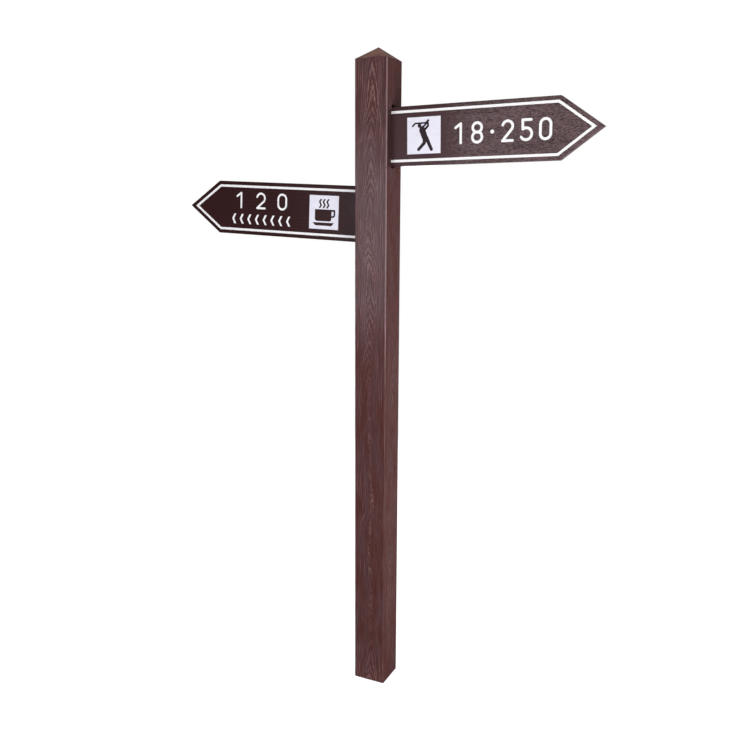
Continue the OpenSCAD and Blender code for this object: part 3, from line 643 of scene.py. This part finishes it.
# %% [markdown]
# The right board is brushed with a coarse wheel, which leaves short flecks that catch the light. The wheel sets
# down behind the plate, so the hand's width beside the post stays smooth, and there its colour is painted darker
# as painted shade. The left board is darker, with long faint streaks. One recipe serves both. Its pattern is
# stretched along the board, so the coordinates are first turned by the board's own tilt, read from its longest
# edge.

# %% Brushed and smooth composite
def tilt_of(piece):
    """The tilt of a board in radians, from the direction of its longest edge."""
    ends = [[piece.data.vertices[i].co for i in edge.vertices] for edge in piece.data.edges]
    first, second = max(ends, key=lambda pair: (pair[1] - pair[0]).length)
    return math.atan((second.z - first.z) / (second.x - first.x))


def board_composite(name, tilt, light, dark, fleck, contrast, roughness, specular, bump_mm, shaded_smooth_to=None):
    """fleck is the height and the length of a fleck in mm. The last argument is a distance in metres from the
    post's axis. Up to it a board is smooth, and its colour is painted darker as painted shade. The change takes
    60 mm to each side."""
    material, tree = new_material(name)
    position = add(tree, "ShaderNodeTexCoord").outputs["Object"]
    level = add(tree, "ShaderNodeMapping", {"Vector": position, "Rotation": (0.0, tilt, 0.0)}).outputs[0]
    # Flecks or fine streaks, with a fifth as much of broader clouds, 14 mm high and 160 mm long
    per_height, per_length = 1 / (fleck[0] * MM), 1 / (fleck[1] * MM)
    fine_at = add(tree, "ShaderNodeMapping", {
        "Vector": level, "Scale": (per_length, per_height, per_height)}).outputs[0]
    fine = add(tree, "ShaderNodeTexNoise", {"Vector": fine_at, "Scale": 1.0, "Detail": 2.0}).outputs[0]
    broad_at = add(tree, "ShaderNodeMapping", {
        "Vector": level, "Scale": (1 / (160 * MM), 1 / (14 * MM), 1 / (14 * MM))}).outputs[0]
    broad = add(tree, "ShaderNodeTexNoise", {"Vector": broad_at, "Scale": 1.0, "Detail": 2.0}).outputs[0]
    both = add(tree, "ShaderNodeMath", {0: broad, 1: 0.2, 2: fine}, operation="MULTIPLY_ADD").outputs[0]
    middle, half_span = 0.6, 0.3 / contrast
    streak = add(tree, "ShaderNodeMapRange", {0: both, 1: middle - half_span, 2: middle + half_span}).outputs[0]
    tone = add(tree, "ShaderNodeMix", {0: streak, 6: colour(dark), 7: colour(light)},
               data_type="RGBA").outputs[2]
    gloss = add(tree, "ShaderNodeMapRange", {
        0: fine, 1: 0.3, 2: 0.7, 3: roughness + 0.05, 4: roughness - 0.05}).outputs[0]
    height = fine
    if shaded_smooth_to:
        x = add(tree, "ShaderNodeSeparateXYZ", {0: position}).outputs[0]
        brushed_and_unshaded = add(tree, "ShaderNodeMapRange", {
            0: x, 1: shaded_smooth_to - 60 * MM, 2: shaded_smooth_to + 60 * MM}, interpolation_type="SMOOTHSTEP").outputs[0]
        # Beside the post the colour is painted darker, as painted shade
        tone = add(tree, "ShaderNodeMix", {0: brushed_and_unshaded, 6: colour("#473133"), 7: tone},
                   data_type="RGBA").outputs[2]
        height = add(tree, "ShaderNodeMath", {0: fine, 1: brushed_and_unshaded}, operation="MULTIPLY").outputs[0]
    bump = add(tree, "ShaderNodeBump", {
        "Strength": 0.6, "Distance": bump_mm * MM, "Height": height}).outputs[0]
    shader = add(tree, "ShaderNodeBsdfPrincipled", {
        "Base Color": tone, "Roughness": gloss, "IOR": 1.5, "Specular IOR Level": specular, "Normal": bump,
    })
    add(tree, "ShaderNodeOutputMaterial", {0: shader.outputs[0]})
    return material


# %% Dress the boards
RIGHT_TILT = tilt_of(right_arrow)
LEFT_TILT = tilt_of(left_arrow)
brushed = board_composite(
    "brushed_wood_plastic_composite", RIGHT_TILT, light="#745e60", dark="#2c2122", fleck=(1.3, 6.5),
    contrast=1.6, roughness=0.3, specular=0.08, bump_mm=0.3, shaded_smooth_to=0.23)
smooth = board_composite(
    "smooth_wood_plastic_composite", LEFT_TILT, light="#391f1f", dark="#2f191a", fleck=(2.2, 90.0),
    contrast=1.0, roughness=0.27, specular=0.1, bump_mm=0.05)
right_arrow.data.materials.append(brushed)
left_arrow.data.materials.append(smooth)
print("tilts, degrees:", round(math.degrees(RIGHT_TILT), 2), round(math.degrees(LEFT_TILT), 2))

# %% [markdown]
# ## White inlays
# The bands, plates and figures are cut from white acrylic sheet and glued into their pockets, a fifth of a
# millimetre under the face. Acrylic is white all through, with an IOR of 1.49 and a soft gloss. Their edges are
# broken by about a fifth of a millimetre too, which gives each stroke a fine bright or dark rim.

# %% Soften what is inlaid
def soften(piece, width):
    """Rounds all sharp edges of a CAD node with modifiers, and leaves its own mesh as it is."""
    weld = piece.modifiers.new("weld", "WELD")
    weld.merge_threshold = 2e-6
    bevel = piece.modifiers.new("soften", "BEVEL")
    bevel.width = width
    bevel.segments = 2
    bevel.limit_method = "ANGLE"
    bevel.angle_limit = math.radians(32)
    bevel.harden_normals = True


def dress(names, material, width=None):
    """Gives CAD nodes a material, and softens their edges by width."""
    for name in names:
        piece = frame["nodes"][name]
        piece.data.materials.clear()
        piece.data.materials.append(material)
        if width:
            soften(piece, width)
    print(material.name, "on", ", ".join(names))


# %% Acrylic sheet
def acrylic(name, white, shade_of, roughness):
    """Acrylic with a faint haze of 25 mm, and wiping marks along the board, 3 mm high and 40 mm long."""
    material, tree = new_material(name)
    position = add(tree, "ShaderNodeTexCoord").outputs["Object"]
    haze = noise_span(tree, position, 0.0, 1.0, detail=3.0, scale=1 / (25 * MM))
    tone = add(tree, "ShaderNodeMix", {0: haze, 6: colour(white), 7: colour(shade_of)},
               data_type="RGBA").outputs[2]
    wipe_at = add(tree, "ShaderNodeMapping", {
        "Vector": position, "Scale": (1 / (40 * MM), 1 / (3 * MM), 1 / (3 * MM))}).outputs[0]
    gloss = noise_span(tree, wipe_at, roughness - 0.05, roughness + 0.08, detail=2.0)
    shader = add(tree, "ShaderNodeBsdfPrincipled", {
        "Base Color": tone, "Roughness": gloss, "IOR": 1.49, "Specular IOR Level": 0.3,
    })
    add(tree, "ShaderNodeOutputMaterial", {0: shader.outputs[0]})
    return material


white_acrylic = acrylic("white_acrylic", "#fbfaf9", "#f5f4f4", 0.32)
cool_acrylic = acrylic("cool_white_acrylic", "#edebf5", "#e7e5f1", 0.28)
dark_sheet = board_composite(
    "dark_composite_sheet", RIGHT_TILT, light="#33252a", dark="#241a1d", fleck=(2.2, 20.0),
    contrast=1.0, roughness=0.3, specular=0.1, bump_mm=0.05)
dress(["right_border_band", "left_border_band"], white_acrylic, 0.25 * MM)
dress(["right_numerals", "left_numerals", "left_chevrons"], white_acrylic, 0.25 * MM)
dress(["right_plate", "left_plate"], cool_acrylic, 0.2 * MM)
dress(["right_golfer"], dark_sheet, 0.15 * MM)
dress(["left_cup"], smooth, 0.15 * MM)

# %% [markdown]
# ## Metal and filler inside
# A galvanised tube stiffens the post, and blocks sawn from black recycled plastic hold it and take the boards.
# Little of it shows, but a board that is drawn out uncovers some of it. Galvanised steel carries a pattern of
# zinc crystals. Stainless and brass parts were turned on a lathe, so fine rings run round them. The blocks are
# marbled, because the plastic they are pressed from was never one colour.

# %% Galvanised steel
def galvanised_steel():
    material, tree = new_material("galvanised_steel")
    position = add(tree, "ShaderNodeTexCoord").outputs["Object"]
    # Zinc crystals of about 9 mm
    crystals = add(tree, "ShaderNodeTexVoronoi", {"Vector": position, "Scale": 1 / (9 * MM)})
    value = add(tree, "ShaderNodeSeparateColor", {0: crystals.outputs["Color"]}).outputs[0]
    tone = add(tree, "ShaderNodeMix", {0: value, 6: colour("#a9adb1"), 7: colour("#c9cccf")},
               data_type="RGBA").outputs[2]
    gloss = add(tree, "ShaderNodeMapRange", {0: value, 3: 0.38, 4: 0.52}).outputs[0]
    shader = add(tree, "ShaderNodeBsdfPrincipled", {"Base Color": tone, "Roughness": gloss, "Metallic": 1.0})
    add(tree, "ShaderNodeOutputMaterial", {0: shader.outputs[0]})
    return material


dress(["core_tube", "anchor_boss"], galvanised_steel())

# %% Turned metal
def turned_metal(name, light, dark, roughness):
    """Metal from a lathe, with cutting rings 0.4 mm apart along Y, drawn a little coarser than they are."""
    material, tree = new_material(name)
    position = add(tree, "ShaderNodeTexCoord").outputs["Object"]
    rings_at = add(tree, "ShaderNodeMapping", {
        "Vector": position, "Scale": (1 / (30 * MM), 1 / (0.4 * MM), 1 / (30 * MM))}).outputs[0]
    rings = noise_span(tree, rings_at, 0.0, 1.0, detail=2.0)
    tone = add(tree, "ShaderNodeMix", {0: rings, 6: colour(dark), 7: colour(light)},
               data_type="RGBA").outputs[2]
    gloss = add(tree, "ShaderNodeMapRange", {0: rings, 3: roughness + 0.08, 4: roughness - 0.04}).outputs[0]
    bump = add(tree, "ShaderNodeBump", {"Strength": 0.3, "Distance": 0.03 * MM, "Height": rings}).outputs[0]
    shader = add(tree, "ShaderNodeBsdfPrincipled", {
        "Base Color": tone, "Roughness": gloss, "Metallic": 1.0, "Normal": bump,
    })
    add(tree, "ShaderNodeOutputMaterial", {0: shader.outputs[0]})
    return material


stainless = turned_metal("turned_stainless_steel", "#c4c2bd", "#a9a7a3", 0.28)
brass = turned_metal("turned_brass", "#d8b56a", "#b8924c", 0.26)
dress(["anchor_screw", "back_screws"], stainless, 0.2 * MM)
dress(["right_clamp_screws", "left_clamp_screws"], stainless, 0.3 * MM)
# The plates are cut from sheet, and the lines that its rolling leaves look much like the rings
dress(["right_pressure_plate", "left_pressure_plate"], stainless, 0.3 * MM)
dress(["right_clamp_inserts", "left_clamp_inserts"], brass, 0.3 * MM)

# %% Recycled plastic
def recycled_plastic():
    material, tree = new_material("sawn_recycled_polyethylene")
    position = add(tree, "ShaderNodeTexCoord").outputs["Object"]
    # Marbling of 28 mm
    swirl = add(tree, "ShaderNodeTexNoise", {
        "Vector": position, "Scale": 1 / (28 * MM), "Detail": 4.0, "Distortion": 1.2}).outputs[0]
    swirl = add(tree, "ShaderNodeMapRange", {0: swirl, 1: 0.35, 2: 0.65}).outputs[0]
    tone = add(tree, "ShaderNodeMix", {0: swirl, 6: colour("#232426"), 7: colour("#36373a")},
               data_type="RGBA").outputs[2]
    # Saw marks, 1.5 mm apart up the block
    saw_at = add(tree, "ShaderNodeMapping", {
        "Vector": position, "Scale": (1 / (30 * MM), 1 / (30 * MM), 1 / (1.5 * MM))}).outputs[0]
    saw = add(tree, "ShaderNodeTexNoise", {"Vector": saw_at, "Scale": 1.0, "Detail": 2.0}).outputs[0]
    bump = add(tree, "ShaderNodeBump", {"Strength": 0.5, "Distance": 0.1 * MM, "Height": saw}).outputs[0]
    shader = add(tree, "ShaderNodeBsdfPrincipled", {
        "Base Color": tone, "Roughness": 0.6, "IOR": 1.51, "Specular IOR Level": 0.4, "Normal": bump,
    })
    add(tree, "ShaderNodeOutputMaterial", {0: shader.outputs[0]})
    return material


recycled = recycled_plastic()
dress(["foot_block", "middle_collar", "upper_collar"], recycled, 0.8 * MM)
dress(["left_mortise_block", "right_mortise_block"], recycled, 0.8 * MM)
dress(["hole_plugs"], moulded, 0.4 * MM)

# %% [markdown]
# ## The studio
# The sign stands on white paper under soft light. The camera sees plain white all round. Glossy surfaces mirror
# the white behind the sign and the darker room beside it, which keeps the right side of the post from looking
# milky. Two softboxes stand in front, to the left of the camera. The upper half of the post mirrors the lower
# one, and the point of the right board mirrors the upper one. That is why the front of the post is paler above
# the middle and the right board pales towards its point. A third softbox lights the right side. The
# last one lights the back and the left side, and the camera doesn't see it.

# %% Camera
LENS, SENSOR = 40.81, 36  # both in mm
CAMERA_PLACE = (1.0391, -2.1871, 1.4693)
YAW, PITCH, ROLL = math.radians(26.269), math.radians(10.922), math.radians(0.122)
forward = Vector((-math.sin(YAW) * math.cos(PITCH), math.cos(YAW) * math.cos(PITCH), -math.sin(PITCH)))
level_right = Vector((math.cos(YAW), math.sin(YAW), 0))
level_up = level_right.cross(forward)
side = math.cos(ROLL) * level_right + math.sin(ROLL) * level_up
up = -math.sin(ROLL) * level_right + math.cos(ROLL) * level_up
camera = new_object("camera", bpy.data.cameras.new("camera"))
camera.data.lens = LENS
camera.data.sensor_width = SENSOR
camera.data.clip_end = 200
camera.matrix_world = Matrix.Translation(CAMERA_PLACE) @ Matrix((side, up, -forward)).transposed().to_4x4()
bpy.context.scene.camera = camera
print("camera looks along", [round(x, 3) for x in forward])

# %% What the sign mirrors
ROOM_LEVEL = 0.4  # what lights the sign from all round
ROOM_SEEN = 0.05  # how bright the room is where a glossy surface mirrors it
WHITE_WITHIN, ROOM_FROM = 22, 42  # degrees from the line from the camera through the sign


def mirrored_room(tree, direction):
    """What glossy surfaces show of a direction: white paper behind the sign, a darker room to both sides."""
    behind = add(tree, "ShaderNodeVectorMath", {0: direction, 1: forward}, operation="DOT_PRODUCT")
    return add(tree, "ShaderNodeMapRange", {
        0: behind.outputs["Value"], 1: math.cos(math.radians(ROOM_FROM)),
        2: math.cos(math.radians(WHITE_WITHIN)), 3: ROOM_SEEN, 4: 1.0,
    }, interpolation_type="SMOOTHSTEP").outputs[0]


def ray_kinds(tree):
    """Two sockets that are 1 for rays from the camera, and for rays that mirrors and glass send on."""
    path = add(tree, "ShaderNodeLightPath").outputs
    sent_on = add(tree, "ShaderNodeMath", {0: path["Is Glossy Ray"], 1: path["Is Transmission Ray"]},
                  operation="MAXIMUM").outputs[0]
    return path["Is Camera Ray"], sent_on


# %% Paper floor
FLOOR_REACH = 40.0  # m
FOOT = (0.0, 0.0, 0.1)  # a point low in the sign, from which the floor's mirrored look is judged


def white_paper():
    material, tree = new_material("white_paper")
    seen, sent_on = ray_kinds(tree)
    tooth = add(tree, "ShaderNodeTexNoise", {"Scale": 400.0, "Detail": 2.0}).outputs[0]
    white = add(tree, "ShaderNodeMapRange", {0: tooth, 3: 0.8, 4: 0.84}).outputs[0]
    lit = add(tree, "ShaderNodeBsdfDiffuse", {"Color": white}).outputs[0]
    place = add(tree, "ShaderNodeNewGeometry").outputs["Position"]
    from_foot = add(tree, "ShaderNodeVectorMath", {0: place, 1: FOOT}, operation="SUBTRACT").outputs[0]
    direction = add(tree, "ShaderNodeVectorMath", {0: from_foot}, operation="NORMALIZE").outputs[0]
    mirrored = add(tree, "ShaderNodeEmission", {"Strength": mirrored_room(tree, direction)}).outputs[0]
    unseen = add(tree, "ShaderNodeMixShader", {0: sent_on, 1: lit, 2: mirrored}).outputs[0]
    # To the camera the paper glows nearly white, and the rest comes from the lamps, so shadows show
    glow = add(tree, "ShaderNodeEmission", {"Color": (1, 1, 1, 1), "Strength": 0.82}).outputs[0]
    part_lit = add(tree, "ShaderNodeBsdfDiffuse", {"Color": (0.46, 0.46, 0.46, 1)}).outputs[0]
    bright = add(tree, "ShaderNodeAddShader", {0: glow, 1: part_lit}).outputs[0]
    shader = add(tree, "ShaderNodeMixShader", {0: seen, 1: unseen, 2: bright})
    add(tree, "ShaderNodeOutputMaterial", {0: shader.outputs[0]})
    return material


floor_mesh = bpy.data.meshes.new("floor")
floor_corners = [(x * FLOOR_REACH, y * FLOOR_REACH, 0) for x, y in ((-1, -1), (1, -1), (1, 1), (-1, 1))]
floor_mesh.from_pydata(floor_corners, [], [(0, 1, 2, 3)])
floor_mesh.materials.append(white_paper())
floor = new_object("floor", floor_mesh)
print("paper floor:", 2 * FLOOR_REACH, "m square")

# %% White surroundings
world = bpy.data.worlds.new("studio")
bpy.context.scene.world = world
world.use_nodes = True
sky_tree = world.node_tree
sky_tree.nodes.clear()
seen, sent_on = ray_kinds(sky_tree)
direction = add(sky_tree, "ShaderNodeTexCoord").outputs["Generated"]
mirrored = mirrored_room(sky_tree, direction)
room = add(sky_tree, "ShaderNodeMix", {0: sent_on, 2: ROOM_LEVEL, 3: mirrored}).outputs[0]
strength = add(sky_tree, "ShaderNodeMix", {0: seen, 2: room, 3: 1.0}).outputs[0]
sky = add(sky_tree, "ShaderNodeBackground", {"Color": (1, 1, 1, 1), "Strength": strength}).outputs[0]
add(sky_tree, "ShaderNodeOutputWorld", {0: sky})
print("room lights the sign at", ROOM_LEVEL, "and is mirrored at", ROOM_SEEN)

# %% Softboxes
def softbox(name, place, target, width, height, radiance, tint=(1.0, 1.0, 1.0)):
    """A soft lamp. Its face has the given radiance, where 1 is white."""
    data = bpy.data.lights.new(name, "AREA")
    data.color = tint
    data.shape = "RECTANGLE"
    data.size, data.size_y = width, height
    data.energy = radiance * math.pi * width * height
    lamp = new_object(name, data)
    lamp.location = place
    lamp.rotation_euler = (Vector(target) - Vector(place)).to_track_quat("-Z", "Y").to_euler()
    print(name, "power", round(data.energy, 1), "W")
    return lamp


softbox("low_softbox", place=(-0.88, -2.3, 1.28), target=(-0.88, 0, 1.28), width=0.95, height=0.98,
        radiance=4.45, tint=(0.98, 0.97, 1.1))
softbox("high_softbox", place=(0.05, -2.3, 1.85), target=(0.05, 0, 1.85), width=1.2, height=1.0,
        radiance=1.95)
softbox("side_softbox", place=(2.2, -0.8, 0.65), target=(0, 0, 0.55), width=1.6, height=1.8, radiance=6.9)
back_softbox = softbox("back_softbox", place=(-1.5, 2.2, 1.2), target=(0, 0, 1.1), width=1.6, height=1.8,
                       radiance=3.8)
back_softbox.visible_camera = False

bpy.context.scene.view_settings.view_transform = "Standard"
